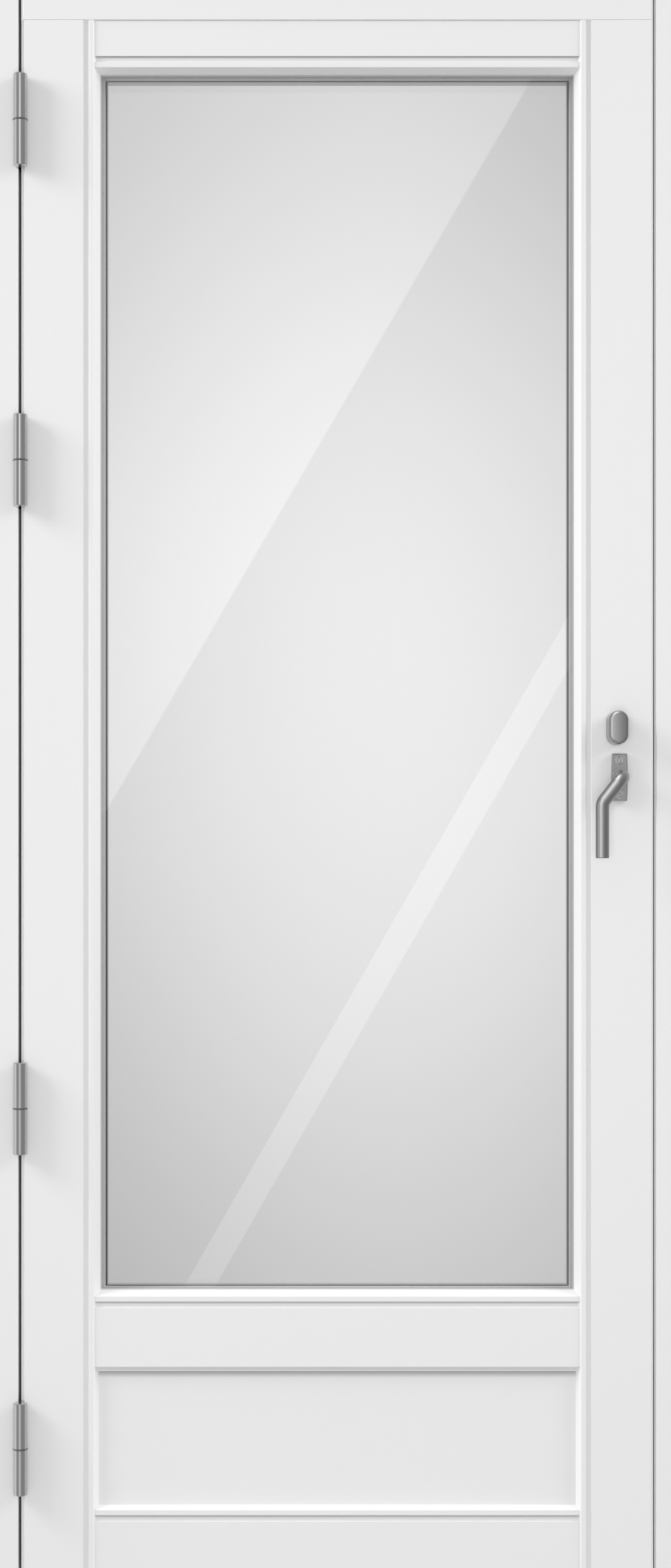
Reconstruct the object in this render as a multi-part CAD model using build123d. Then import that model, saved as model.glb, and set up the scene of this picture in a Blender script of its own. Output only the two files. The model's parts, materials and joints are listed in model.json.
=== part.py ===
"""Inward-opening balcony door in its frame.

A glazed leaf with one low panel hangs in a painted frame on four lift-off hinges, with a cranked
lever handle and an oval thumb-turn on its lock stile.

Millimetres. Seen from the room, X runs across the doorway from the hinge side to the lock side,
+Y points out through the wall and Z is up. The origin is the middle of the threshold's underside.
"""
import os

from build123d import *

# Frame
FRAME_WIDTH = 890
FRAME_HEIGHT = 2090
FRAME_DEPTH = 115
FRAME_FACE = 42
STOP_PROJECTION = 18
FRAME_ARRIS = 1.2
THRESHOLD_STEP = 30
THRESHOLD_STOP = 52
THRESHOLD_CREST = 14
THRESHOLD_BACK = 26

# Leaf in the frame
LEAF_THICK = 68
SIDE_CLEAR = 3.4
HEAD_CLEAR = 5
BOTTOM_CLEAR = 7
SEAL_SPACE = 4
SEAL_CLEAR = 0.3
SEAL_WIDTH = 7
SEAL_INSET = 3
LOCK_BEVEL = 4
HINGE_STEP_WIDTH = 4.3
HINGE_STEP_DEPTH = 4
LOCK_STEP_WIDTH = 3.1
LOCK_STEP_DEPTH = 2.5
BACK_ARRIS = 2
TOP_BAND = 37
BAND_ARRIS = 1.2

# Moulded edge round the glass and the panel, measured from the sight line into the wood
CHAMFER_WIDTH = 8
CHAMFER_DEPTH = 11
STRIP_WIDTH = 5.7
GROOVE_WIDTH = 7.2
GROOVE_DEPTH = 3
EDGE_ROUND = 0.7
LIP = 14
REBATE = 13.4
RAIL_SETBACK = 1.6

# Widths of the leaf's members up to the sight lines, and the panel between them
STILE_WIDTH = 99.45
TOP_RAIL = 65.9
MID_RAIL = 102.7
BOTTOM_RAIL = 92.7
PANEL_HEIGHT = 167.4
PANEL_RECESS = 8.5
PANEL_SLACK = 0.5

# Glass unit, from the room side outwards
TAPE = 3
PANE = 4
CAVITY = 12
UNIT_SLACK = 3
GASKET_SHOW = 1.6
INNER_SPACER_SIDES = 4.8
INNER_SPACER_ENDS = 1.6
OUTER_SPACER_SIDES = 7
OUTER_SPACER_ENDS = 2.6
BEAD_FLAT = 6
BEAD_SLOPE = 7

# Hinges
HINGE_SET = 0.6
HINGE_ENDS = 166
HINGE_PAIR = 428.7
KNUCKLE_RADIUS = 8.7
KNUCKLE_HEIGHT = 58.2
KNUCKLE_SPLIT = 1.5
KNUCKLE_ROUND = 1.6
SPLIT_ROUND = 0.6
KNUCKLE_STAND_OFF = 10.5
PIN_RADIUS = 5
PIN_LENGTH = 40
RUNNING_CLEAR = 0.05
WASHER_RADIUS = 7
LIFT_CLEAR = 0.3
PLATE_THICK = 2.4
PLATE_DEPTH = 34

# Handle and thumb-turn
HANDLE_INSET = 43.6
HANDLE_Z = 1049
ROSE_WIDTH = 18.4
ROSE_BULGE = 0.9
ROSE_HEIGHT = 59.6
ROSE_THICK = 8
ROSE_ROUND = 1.2
CAP_RADIUS = 6
CAP_RISE = 0.5
CAP_OFFSET = 21.5
COLLAR_RADIUS = 11.2
COLLAR_LENGTH = 7
NECK_RADIUS = 6
NECK_ENGAGE = 12
LEVER_RADIUS = 8.4
LEVER_STAND_OFF = 42
LEVER_CRANK_X = 25.4
LEVER_CRANK_Z = 33
LEVER_GRIP = 69
NECK_BEND = 9.5
ELBOW_BEND = 13
LEVER_END_ROUND = 1.2
TURN_INSET = 48.1
TURN_RISE = 61.5
TURN_WIDTH = 24
TURN_HEIGHT = 42
TURN_LENGTH = 40
TURN_CROWN = 50
TURN_ROUND = 4.2
TURN_GAP = 0.5
BUSH_RADIUS = 9
BUSH_THICK = 2
TURN_STUB_RADIUS = 4
TURN_STUB = 12

# Lock edge
FACEPLATE_WIDTH = 20
FACEPLATE_ENDS = 160
FACEPLATE_THICK = 3
BOLT_ENDS = 310
BOLT_WIDTH = 10
BOLT_LENGTH = 34
BOLT_DEPTH = 16
BOLT_CLEAR = 0.4
STRIKE_WIDTH = 24
STRIKE_LENGTH = 110
STRIKE_THICK = 2
STRIKE_SLOT = 4

# Fixing holes for the wall screws
SCREW_RADIUS = 7
SCREW_DEPTH = 58
SCREW_ENDS = (330, 760)

# Derived planes
FRONT = -FRAME_DEPTH / 2
BACK = FRAME_DEPTH / 2
JAMB_OUT = FRAME_WIDTH / 2
JAMB_IN = JAMB_OUT - FRAME_FACE
STOP_IN = JAMB_IN - STOP_PROJECTION
STOP_FACE = FRONT + LEAF_THICK + SEAL_SPACE
HEAD_IN = FRAME_HEIGHT - FRAME_FACE
LEAF_EDGE = JAMB_IN - SIDE_CLEAR
LEAF_BACK = FRONT + LEAF_THICK
LEAF_BOTTOM = THRESHOLD_STEP + BOTTOM_CLEAR
LEAF_TOP = HEAD_IN - HEAD_CLEAR
BAND_BOTTOM = LEAF_TOP - TOP_BAND
SIGHT_SIDE = LEAF_EDGE - STILE_WIDTH
REBATE_SIDE = SIGHT_SIDE + REBATE
PANEL_BOTTOM = LEAF_BOTTOM + BOTTOM_RAIL
PANEL_TOP = PANEL_BOTTOM + PANEL_HEIGHT
GLASS_BOTTOM = PANEL_TOP + MID_RAIL
GLASS_TOP = BAND_BOTTOM - TOP_RAIL
UNIT_FRONT = LIP + TAPE
UNIT_THICK = 3 * PANE + 2 * CAVITY
BEAD_FRONT = UNIT_FRONT + UNIT_THICK + TAPE
HINGE_X = HINGE_SET - LEAF_EDGE
HINGE_Y = FRONT - KNUCKLE_STAND_OFF
HINGE_HEIGHTS = (
    LEAF_BOTTOM + HINGE_ENDS,
    LEAF_BOTTOM + HINGE_ENDS + HINGE_PAIR,
    LEAF_TOP - HINGE_ENDS - HINGE_PAIR,
    LEAF_TOP - HINGE_ENDS,
)
HANDLE_X = LEAF_EDGE - HANDLE_INSET
TURN_X = LEAF_EDGE - TURN_INSET
TURN_Z = HANDLE_Z + TURN_RISE
FACEPLATE_SPAN = (LEAF_BOTTOM + FACEPLATE_ENDS, LEAF_TOP - FACEPLATE_ENDS)
BOLT_HEIGHTS = (LEAF_BOTTOM + BOLT_ENDS, HANDLE_Z, LEAF_TOP - BOLT_ENDS)


def block(x, y, z):
    """Box from its (low, high) spans along X, Y and Z."""
    spans = (x, y, z)
    size = [high - low for low, high in spans]
    middle = [(high + low) / 2 for low, high in spans]
    return Pos(*middle) * Box(*size)


def outline(points):
    """Flat profile through (a, b) points; a third value rounds that corner."""
    sketch = Polygon(*[p[:2] for p in points], align=None)
    for a, b, radius in [p for p in points if len(p) == 3]:
        corner = sketch.vertices().sort_by_distance((a, b, 0))[0]
        sketch = fillet(corner, radius)
    return sketch


def upright(points, z):
    """Profile of (x, y) points drawn out over the span z."""
    return Pos(0, 0, z[0]) * extrude(outline(points), z[1] - z[0], dir=(0, 0, 1))


def level(points, x):
    """Profile of (y, z) points drawn out over the span x."""
    return Pos(x[0], 0, 0) * extrude(Plane.YZ * outline(points), x[1] - x[0], dir=(1, 0, 0))


def ring(y, side, low, high, band):
    """Rectangular ring over the depth span y, its bars `band` wide inside the stated outline."""
    outer = block((-side, side), y, (low, high))
    inner = block((band - side, side - band), y, (low + band, high - band))
    return outer - inner


def rod(radius, start, end, x, z):
    """Round bar along Y from start to end."""
    return Pos(x, (start + end) / 2, z) * Rot(X=90) * Cylinder(radius, abs(end - start))


def chamfer_start(setback):
    """Distance from the sight line to where the moulded chamfer meets a face at this setback."""
    return CHAMFER_WIDTH * (1 - setback / CHAMFER_DEPTH)


def moulding(setback, grooved):
    """Edge section as (distance from the sight line, depth) from the leaf's back to its face."""
    start = chamfer_start(setback)
    points = [(REBATE, LEAF_THICK), (REBATE, LIP), (0, LIP), (0, CHAMFER_DEPTH)]
    points.append((start, setback, EDGE_ROUND))
    if grooved:
        near = CHAMFER_WIDTH + STRIP_WIDTH
        far = near + GROOVE_WIDTH
        floor = setback + GROOVE_DEPTH
        points += [(near, setback, EDGE_ROUND), (near, floor), (far, floor), (far, setback, EDGE_ROUND / 2)]
    return points


def jamb(side):
    """Frame upright: a face, a rebate for the leaf and the stop behind it."""
    points = [
        (side * JAMB_OUT, FRONT),
        (side * JAMB_IN, FRONT, FRAME_ARRIS),
        (side * JAMB_IN, STOP_FACE),
        (side * STOP_IN, STOP_FACE, FRAME_ARRIS),
        (side * STOP_IN, BACK, FRAME_ARRIS),
        (side * JAMB_OUT, BACK),
    ]
    body = upright(points, (0, FRAME_HEIGHT))
    for end in SCREW_ENDS:
        for z in (end, FRAME_HEIGHT - end):
            hole = Rot(Y=90) * Cylinder(SCREW_RADIUS, FRAME_FACE)
            body -= Pos(side * (JAMB_OUT + JAMB_IN) / 2, FRONT + SCREW_DEPTH, z) * hole
    return body


def head():
    """Top member of the frame, cut to the jambs at its ends."""
    points = [
        (FRONT, FRAME_HEIGHT),
        (FRONT, HEAD_IN, FRAME_ARRIS),
        (STOP_FACE, HEAD_IN),
        (STOP_FACE, HEAD_IN - STOP_PROJECTION, FRAME_ARRIS),
        (BACK, HEAD_IN - STOP_PROJECTION, FRAME_ARRIS),
        (BACK, FRAME_HEIGHT),
    ]
    return level(points, (-JAMB_IN, JAMB_IN))


def threshold():
    """Sill of the frame: a step under the leaf, a stop behind it and a weathered slope outside."""
    points = [
        (FRONT, 0),
        (FRONT, THRESHOLD_STEP, FRAME_ARRIS),
        (STOP_FACE, THRESHOLD_STEP),
        (STOP_FACE, THRESHOLD_STOP, FRAME_ARRIS),
        (STOP_FACE + THRESHOLD_CREST, THRESHOLD_STOP, FRAME_ARRIS),
        (BACK, THRESHOLD_BACK, FRAME_ARRIS),
        (BACK, 0),
    ]
    return level(points, (-JAMB_IN, JAMB_IN))


def frame_seal():
    """Bulb seal on the face of the stops, just clear of the closed leaf."""
    y = (LEAF_BACK + SEAL_CLEAR, STOP_FACE)
    side = LEAF_EDGE - SEAL_INSET
    seal = ring(y, side, LEAF_BOTTOM + SEAL_INSET, LEAF_TOP - SEAL_INSET, SEAL_WIDTH)
    front_edges = seal.faces().sort_by(Axis.Y)[0].edges()
    return fillet(front_edges, SEAL_WIDTH / 4)


def edge_x(bevel, depth):
    """Distance of the leaf's outer edge from the middle, at this depth behind its face."""
    return LEAF_EDGE - bevel * depth / LEAF_THICK


def outer_edge(side, step_width, step_depth, bevel):
    """Corners of the leaf's outer edge from its face to its back, with a shallow step beside the face."""
    return [
        (side * (LEAF_EDGE - step_width), FRONT, EDGE_ROUND),
        (side * (LEAF_EDGE - step_width), FRONT + step_depth),
        (side * edge_x(bevel, step_depth), FRONT + step_depth, EDGE_ROUND),
        (side * edge_x(bevel, LEAF_THICK), LEAF_BACK, BACK_ARRIS),
    ]


def corner_cut(z, ease, x):
    """Wedge that eases the front of a level edge at this height, up the face or, if negative, down it."""
    return level([(FRONT, z), (FRONT + abs(ease), z), (FRONT, z + ease)], x)


def hinge_edge():
    """Outer edge of the leaf on the hinge side."""
    return outer_edge(-1, HINGE_STEP_WIDTH, HINGE_STEP_DEPTH, 0)


def lock_side_edge():
    """Outer edge of the leaf on the lock side, bevelled to swing clear of its jamb."""
    return outer_edge(1, LOCK_STEP_WIDTH, LOCK_STEP_DEPTH, LOCK_BEVEL)


def stile(side, outer):
    """Upright of the leaf: outer edge, face eased under the top band, groove, strip and moulded edge."""
    points = list(outer)
    for corner in moulding(0, True):
        points.append((side * (SIGHT_SIDE + corner[0]), FRONT + corner[1], *corner[2:]))
    body = upright(points, (LEAF_BOTTOM, BAND_BOTTOM))
    groove_end = SIGHT_SIDE + CHAMFER_WIDTH + STRIP_WIDTH + GROOVE_WIDTH
    return body - corner_cut(BAND_BOTTOM, -BAND_ARRIS / 2, sorted((side * groove_end, side * LEAF_EDGE)))


def top_rail():
    """Rail over the glass, with an eased joint under the top band."""
    edge = [(FRONT + d, GLASS_TOP + t, *r) for t, d, *r in moulding(RAIL_SETBACK, True)]
    points = edge + [(FRONT + RAIL_SETBACK, BAND_BOTTOM, BAND_ARRIS), (LEAF_BACK, BAND_BOTTOM)]
    return level(points, (-REBATE_SIDE, REBATE_SIDE))


def mid_rail():
    """Rail between the glass and the panel."""
    upper = [(FRONT + d, GLASS_BOTTOM - t, *r) for t, d, *r in moulding(RAIL_SETBACK, True)]
    lower = [(FRONT + d, PANEL_TOP + t, *r) for t, d, *r in moulding(RAIL_SETBACK, False)]
    return level(upper + lower[::-1], (-REBATE_SIDE, REBATE_SIDE))


def bottom_rail():
    """Rail under the panel, down to the bottom of the leaf."""
    edge = [(FRONT + d, PANEL_BOTTOM - t, *r) for t, d, *r in moulding(RAIL_SETBACK, True)]
    points = edge + [(FRONT + RAIL_SETBACK, LEAF_BOTTOM, BAND_ARRIS), (LEAF_BACK, LEAF_BOTTOM)]
    return level(points, (-REBATE_SIDE, REBATE_SIDE))


def top_band():
    """Full-width member over the stiles and the top rail."""
    hinge_end = outer_edge(-1, LOCK_STEP_WIDTH, LOCK_STEP_DEPTH, 0)
    body = upright(lock_side_edge() + hinge_end[::-1], (BAND_BOTTOM, LEAF_TOP))
    span = (-LEAF_EDGE, LEAF_EDGE)
    return body - corner_cut(BAND_BOTTOM, BAND_ARRIS, span) - corner_cut(LEAF_TOP, -BAND_ARRIS, span)


def bottom_panel():
    """Flat infill behind the moulded edges, trimmed later by the members it sits in."""
    side = REBATE_SIDE - PANEL_SLACK
    y = (FRONT + PANEL_RECESS, FRONT + UNIT_FRONT + UNIT_THICK)
    z = (PANEL_BOTTOM - REBATE + PANEL_SLACK, PANEL_TOP + REBATE - PANEL_SLACK)
    return block((-side, side), y, z)


def unit_slab(depth):
    """Slab with the outline of the glass unit over a span of depths behind the leaf's face."""
    side = REBATE_SIDE - UNIT_SLACK
    z = (GLASS_BOTTOM - REBATE + UNIT_SLACK, GLASS_TOP + REBATE - UNIT_SLACK)
    return block((-side, side), (FRONT + depth[0], FRONT + depth[1]), z)


def unit_ring(depth, show_sides, show_ends):
    """Ring round the glass unit that shows inside the sight lines, by its own width along the ends."""
    side = SIGHT_SIDE - show_sides
    z = (GLASS_BOTTOM + show_ends, GLASS_TOP - show_ends)
    return unit_slab(depth) - block((-side, side), (FRONT + depth[0], FRONT + depth[1]), z)


def pane(front):
    """One sheet of the glass unit, its room face at this depth."""
    return unit_slab((front, front + PANE))


def bead_section(front):
    """Glazing bead as (distance from the sight line, depth), its slope towards the opening."""
    slope = (0, LEAF_THICK - BEAD_SLOPE)
    return [(0, front), (REBATE, front), (REBATE, LEAF_THICK), (BEAD_FLAT, LEAF_THICK, EDGE_ROUND), slope]


def beads(low, high, front):
    """Four beads on the outer side of an opening: hinge side, lock side, bottom and top."""
    section = bead_section(front)
    span = (-REBATE_SIDE, REBATE_SIDE)
    bottom = level([(FRONT + d, low - t, *r) for t, d, *r in section], span)
    top = level([(FRONT + d, high + t, *r) for t, d, *r in section], span)
    sides = []
    for side in (-1, 1):
        points = [(side * (SIGHT_SIDE + t), FRONT + d, *r) for t, d, *r in section]
        sides.append(upright(points, (low - REBATE, high + REBATE)) - bottom - top)
    return sides + [bottom, top]


def hinge_plate(side, z):
    """Leaf or frame flap of a hinge, let in flush with its wood; side is -1 for the frame's."""
    face = -JAMB_IN if side < 0 else -LEAF_EDGE
    x = sorted((face, face + side * PLATE_THICK))
    return block(x, (HINGE_Y, FRONT + PLATE_DEPTH), z)


def hinge_spans(z):
    """Height spans of the frame's knuckle and the leaf's knuckle about a split at this height."""
    return (z - KNUCKLE_HEIGHT, z - KNUCKLE_SPLIT / 2), (z + KNUCKLE_SPLIT / 2, z + KNUCKLE_HEIGHT)


def post(radius, span):
    """Round bar on the hinge line over this height span."""
    return Pos(HINGE_X, HINGE_Y, sum(span) / 2) * Cylinder(radius, span[1] - span[0])


def knuckle(span, low_round, high_round):
    """Half of a hinge barrel with a rounded rim at each end."""
    body = post(KNUCKLE_RADIUS, span)
    for end, radius in ((0, low_round), (-1, high_round)):
        rim = body.edges().filter_by(GeomType.CIRCLE).sort_by(Axis.Z)[end]
        body = fillet(rim, radius)
    return body


def hinge_frame_half(z):
    """Lower knuckle with its flap, washer and pin."""
    low, high = hinge_spans(z)
    half = knuckle(low, KNUCKLE_ROUND, SPLIT_ROUND) + hinge_plate(-1, low)
    half += post(WASHER_RADIUS, (low[1], high[0] - LIFT_CLEAR))
    return half + post(PIN_RADIUS, (low[1], low[1] + PIN_LENGTH))


def hinge_leaf_half(z):
    """Upper knuckle with its flap, bored for the pin."""
    low, high = hinge_spans(z)
    half = knuckle(high, SPLIT_ROUND, KNUCKLE_ROUND) + hinge_plate(1, high)
    return half - post(PIN_RADIUS + RUNNING_CLEAR, (high[0], low[1] + PIN_LENGTH + LIFT_CLEAR))


def rose_outline():
    """Tall rectangle on the stile's face whose sides bow outwards a little."""
    half_width = ROSE_WIDTH / 2
    half_height = ROSE_HEIGHT / 2
    sides = []
    for side in (-1, 1):
        foot = (side * half_width, -half_height)
        middle = (side * (half_width + ROSE_BULGE), 0)
        sides.append(ThreePointArc(foot, middle, (side * half_width, half_height)))
    ends = [Line((-half_width, z), (half_width, z)) for z in (-half_height, half_height)]
    outline_face = make_face(sides + ends)
    return Plane(origin=(HANDLE_X, FRONT, HANDLE_Z), x_dir=(1, 0, 0), z_dir=(0, -1, 0)) * outline_face


def rose():
    """Rectangular rose with two round screw covers and the collar that carries the lever."""
    face = FRONT - ROSE_THICK
    plate = extrude(rose_outline(), ROSE_THICK, dir=(0, -1, 0))
    plate = fillet(plate.faces().sort_by(Axis.Y)[0].edges(), ROSE_ROUND)
    for offset in (-CAP_OFFSET, CAP_OFFSET):
        plate += rod(CAP_RADIUS, face + CAP_RISE, face - CAP_RISE, HANDLE_X, HANDLE_Z + offset)
    end = face - COLLAR_LENGTH
    plate += rod(COLLAR_RADIUS, face + CAP_RISE, end, HANDLE_X, HANDLE_Z)
    return plate - rod(NECK_RADIUS + RUNNING_CLEAR, end, end + NECK_ENGAGE + TURN_GAP, HANDLE_X, HANDLE_Z)


def lever():
    """Cranked lever: out of the collar, across to the elbow and down the grip."""
    start = FRONT - ROSE_THICK - COLLAR_LENGTH - TURN_GAP
    y = FRONT - LEVER_STAND_OFF
    elbow_x = HANDLE_X - LEVER_CRANK_X
    elbow_z = HANDLE_Z - LEVER_CRANK_Z
    line = FilletPolyline(
        (HANDLE_X, start, HANDLE_Z),
        (HANDLE_X, y, HANDLE_Z),
        (elbow_x, y, elbow_z),
        (elbow_x, y, elbow_z - LEVER_GRIP),
        radius=(NECK_BEND, ELBOW_BEND),
    )
    section = Plane(origin=line @ 0, z_dir=line % 0) * Circle(LEVER_RADIUS)
    body = sweep(section, path=line)
    end = body.faces().sort_by(Axis.Z)[0]
    body = fillet(end.edges(), LEVER_END_ROUND)
    return body + rod(NECK_RADIUS, start, start + NECK_ENGAGE, HANDLE_X, HANDLE_Z)


def turn_bush():
    """Thin bush that the thumb-turn runs in."""
    bush = rod(BUSH_RADIUS, FRONT, FRONT - BUSH_THICK, TURN_X, TURN_Z)
    return bush - turn_hole()


def turn_hole():
    """Bore for the thumb-turn's stub, through the bush and into the stile."""
    depth = TURN_STUB + TURN_GAP
    start = FRONT - BUSH_THICK
    return rod(TURN_STUB_RADIUS + RUNNING_CLEAR, start, start + depth, TURN_X, TURN_Z)


def thumb_turn():
    """Oval knob with a crowned front and a rounded front edge, on a round stub."""
    start = FRONT - BUSH_THICK - TURN_GAP
    oval = SlotOverall(TURN_HEIGHT, TURN_WIDTH, rotation=90)
    section = Plane(origin=(TURN_X, start, TURN_Z), x_dir=(1, 0, 0), z_dir=(0, -1, 0)) * oval
    body = extrude(section, TURN_LENGTH, dir=(0, -1, 0))
    body &= Pos(TURN_X, start - TURN_LENGTH + TURN_CROWN, TURN_Z) * Cylinder(TURN_CROWN, 2 * TURN_HEIGHT)
    body = fillet(body.faces().sort_by(Axis.Y)[0].edges(), TURN_ROUND)
    return body + rod(TURN_STUB_RADIUS, start, start + TURN_STUB, TURN_X, TURN_Z)


def lock_edge():
    """Plane on the bevelled lock edge: X back along the edge, Y down it, Z out of the leaf."""
    along = (-LOCK_BEVEL, LEAF_THICK, 0)
    out = (LEAF_THICK, LOCK_BEVEL, 0)
    middle = (LEAF_EDGE - LOCK_BEVEL / 2, FRONT + LEAF_THICK / 2, 0)
    return Plane(origin=middle, x_dir=along, z_dir=out)


def on_lock_edge(width, span, depth):
    """Box let into the lock edge over a height span, its outer face on the edge."""
    bar = lock_edge() * (Pos(0, 0, -depth / 2) * Box(width, span[1] - span[0], depth))
    return Pos(0, 0, sum(span) / 2) * bar


def bolt_box(z, clear, depth):
    """Space of one bolt at this height, widened by a clearance all round."""
    half = BOLT_LENGTH / 2 + clear
    return on_lock_edge(BOLT_WIDTH + 2 * clear, (z - half, z + half), depth)


def faceplate_recess():
    """Long shallow recess in the lock edge, which the faceplate fills."""
    return on_lock_edge(FACEPLATE_WIDTH, FACEPLATE_SPAN, FACEPLATE_THICK)


def faceplate():
    """Long strip on the lock edge with a slot for each bolt."""
    plate = faceplate_recess()
    for z in BOLT_HEIGHTS:
        plate -= bolt_box(z, BOLT_CLEAR, FACEPLATE_THICK)
    return plate


def bolts():
    """Bolts drawn back flush with the faceplate."""
    return [bolt_box(z, 0, BOLT_DEPTH) for z in BOLT_HEIGHTS]


def strike(z):
    """Slotted plate let flush into the lock jamb opposite a bolt."""
    y = FRONT + LEAF_THICK / 2
    x = (JAMB_IN, JAMB_IN + STRIKE_THICK)
    plate = block(x, (y - STRIKE_WIDTH / 2, y + STRIKE_WIDTH / 2), (z - STRIKE_LENGTH / 2, z + STRIKE_LENGTH / 2))
    return plate - strike_slot(z, STRIKE_THICK)


def strike_slot(z, depth):
    """Opening that takes a thrown bolt."""
    y = FRONT + LEAF_THICK / 2
    half_width = BOLT_WIDTH / 2 + STRIKE_SLOT
    half_length = BOLT_LENGTH / 2 + STRIKE_SLOT
    return block((JAMB_IN, JAMB_IN + depth), (y - half_width, y + half_width), (z - half_length, z + half_length))


def save(name, shape):
    """Write one node; a list of shapes becomes one node of separate solids."""
    shapes = shape if isinstance(shape, list) else [shape]
    solids = [solid for item in shapes for solid in item.solids()]
    node = solids[0] if len(solids) == 1 else Compound(children=solids)
    export_step(node, f"parts/{name}.step")


def frame_nodes():
    """Everything that stays with the wall."""
    hinge_side = jamb(-1)
    lock_side = jamb(1)
    nodes = {
        "frame_head": head() - hinge_side - lock_side,
        "frame_threshold": threshold() - hinge_side - lock_side,
        "frame_seal": frame_seal(),
    }
    for number, z in enumerate(HINGE_HEIGHTS, start=1):
        half = hinge_frame_half(z)
        hinge_side -= hinge_plate(-1, hinge_spans(z)[0])
        nodes[f"hinge_{number}_frame_half"] = half
    for z in BOLT_HEIGHTS:
        y = FRONT + LEAF_THICK / 2
        lock_side -= block(
            (JAMB_IN, JAMB_IN + STRIKE_THICK),
            (y - STRIKE_WIDTH / 2, y + STRIKE_WIDTH / 2),
            (z - STRIKE_LENGTH / 2, z + STRIKE_LENGTH / 2),
        )
        lock_side -= strike_slot(z, STRIKE_THICK + BOLT_DEPTH)
    nodes["strike_plates"] = [strike(z) for z in BOLT_HEIGHTS]
    nodes["frame_jamb_hinge"] = hinge_side
    nodes["frame_jamb_lock"] = lock_side
    return nodes


def leaf_nodes():
    """The swinging leaf with its glass, panel, hinge halves and fixed lock furniture."""
    hinge_stile = stile(-1, hinge_edge())
    lock_stile = stile(1, lock_side_edge())
    rails = {
        "leaf_top_rail": top_rail() - hinge_stile - lock_stile,
        "leaf_mid_rail": mid_rail() - hinge_stile - lock_stile,
        "leaf_bottom_rail": bottom_rail() - hinge_stile - lock_stile,
    }
    panel = bottom_panel() - hinge_stile - lock_stile
    panel = panel - rails["leaf_mid_rail"] - rails["leaf_bottom_rail"]
    nodes = {"leaf_top_band": top_band(), "leaf_panel": panel, **rails}

    middle = UNIT_FRONT + PANE + CAVITY
    last = middle + PANE + CAVITY
    nodes["glass_inner"] = pane(UNIT_FRONT)
    nodes["glass_middle"] = pane(middle)
    nodes["glass_outer"] = pane(last)
    nodes["spacer_inner"] = unit_ring((UNIT_FRONT + PANE, middle), INNER_SPACER_SIDES, INNER_SPACER_ENDS)
    nodes["spacer_outer"] = unit_ring((middle + PANE, last), OUTER_SPACER_SIDES, OUTER_SPACER_ENDS)
    nodes["gasket_inner"] = unit_ring((LIP, UNIT_FRONT), GASKET_SHOW, GASKET_SHOW)
    nodes["gasket_outer"] = unit_ring((last + PANE, BEAD_FRONT), GASKET_SHOW, GASKET_SHOW)

    sides = ("hinge", "lock", "bottom", "top")
    for side, bead in zip(sides, beads(GLASS_BOTTOM, GLASS_TOP, BEAD_FRONT)):
        nodes[f"glass_bead_{side}"] = bead
    for side, bead in zip(sides, beads(PANEL_BOTTOM, PANEL_TOP, UNIT_FRONT + UNIT_THICK)):
        nodes[f"panel_bead_{side}"] = bead

    for number, z in enumerate(HINGE_HEIGHTS, start=1):
        nodes[f"hinge_{number}_leaf_half"] = hinge_leaf_half(z)
        hinge_stile -= hinge_plate(1, hinge_spans(z)[1])
    lock_stile -= faceplate_recess()
    for bolt in bolts():
        lock_stile -= bolt
    nodes["leaf_stile_hinge"] = hinge_stile
    nodes["leaf_stile_lock"] = lock_stile - turn_hole()
    nodes["lock_faceplate"] = faceplate()
    nodes["lock_bolts"] = bolts()
    nodes["handle_rose"] = rose()
    nodes["turn_bush"] = turn_bush()
    return nodes


def main():
    """Build every node and write it."""
    os.makedirs("parts", exist_ok=True)
    nodes = {**frame_nodes(), **leaf_nodes(), "handle_lever": lever(), "thumb_turn": thumb_turn()}
    for name, shape in nodes.items():
        save(name, shape)


main()
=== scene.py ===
"""Looks of a white painted balcony door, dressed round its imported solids.

One operator dresses each group of pieces: painted woodwork, glass unit, hinges, lock edge, handle
and seal. One more sets the stage. Sizes are in metres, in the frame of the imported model: X across
the doorway, +Y out through the wall, Z up.
"""
import json
import math

import bmesh
import bpy
import numpy as np
from bpy.props import FloatProperty, FloatVectorProperty, IntProperty, PointerProperty
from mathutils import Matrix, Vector


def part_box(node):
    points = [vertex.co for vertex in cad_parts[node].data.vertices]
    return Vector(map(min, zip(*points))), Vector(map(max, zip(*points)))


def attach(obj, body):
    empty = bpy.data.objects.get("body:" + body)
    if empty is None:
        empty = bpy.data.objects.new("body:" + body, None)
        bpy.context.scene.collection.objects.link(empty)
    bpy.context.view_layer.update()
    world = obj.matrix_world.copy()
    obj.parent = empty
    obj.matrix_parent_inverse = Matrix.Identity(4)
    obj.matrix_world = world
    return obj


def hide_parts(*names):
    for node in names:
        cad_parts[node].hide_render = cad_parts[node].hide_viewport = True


bl_info = {
    "name": "Balcony door looks",
    "version": (1, 0, 0),
    "blender": (4, 5, 0),
    "location": "View3D > Sidebar > Balcony door",
    "description": "Paint, glass, metal, seals, screws and a studio for a balcony door",
    "category": "Object",
}

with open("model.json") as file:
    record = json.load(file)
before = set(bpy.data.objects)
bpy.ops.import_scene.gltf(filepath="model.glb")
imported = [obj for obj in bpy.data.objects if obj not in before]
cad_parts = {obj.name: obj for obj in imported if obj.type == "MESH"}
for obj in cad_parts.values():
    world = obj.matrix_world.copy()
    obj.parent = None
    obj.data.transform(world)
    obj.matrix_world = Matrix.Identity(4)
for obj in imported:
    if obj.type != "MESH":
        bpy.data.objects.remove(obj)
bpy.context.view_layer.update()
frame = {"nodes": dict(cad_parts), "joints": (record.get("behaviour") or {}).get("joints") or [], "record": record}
NODES = frame["nodes"]
SLOT_OF = {part["node"]: part["material_slot"] for part in frame["record"]["subparts"]}
JOINT_AT = {joint["name"]: Vector(joint["pos_m"]) for joint in frame["joints"]}

MM = 0.001

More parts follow.
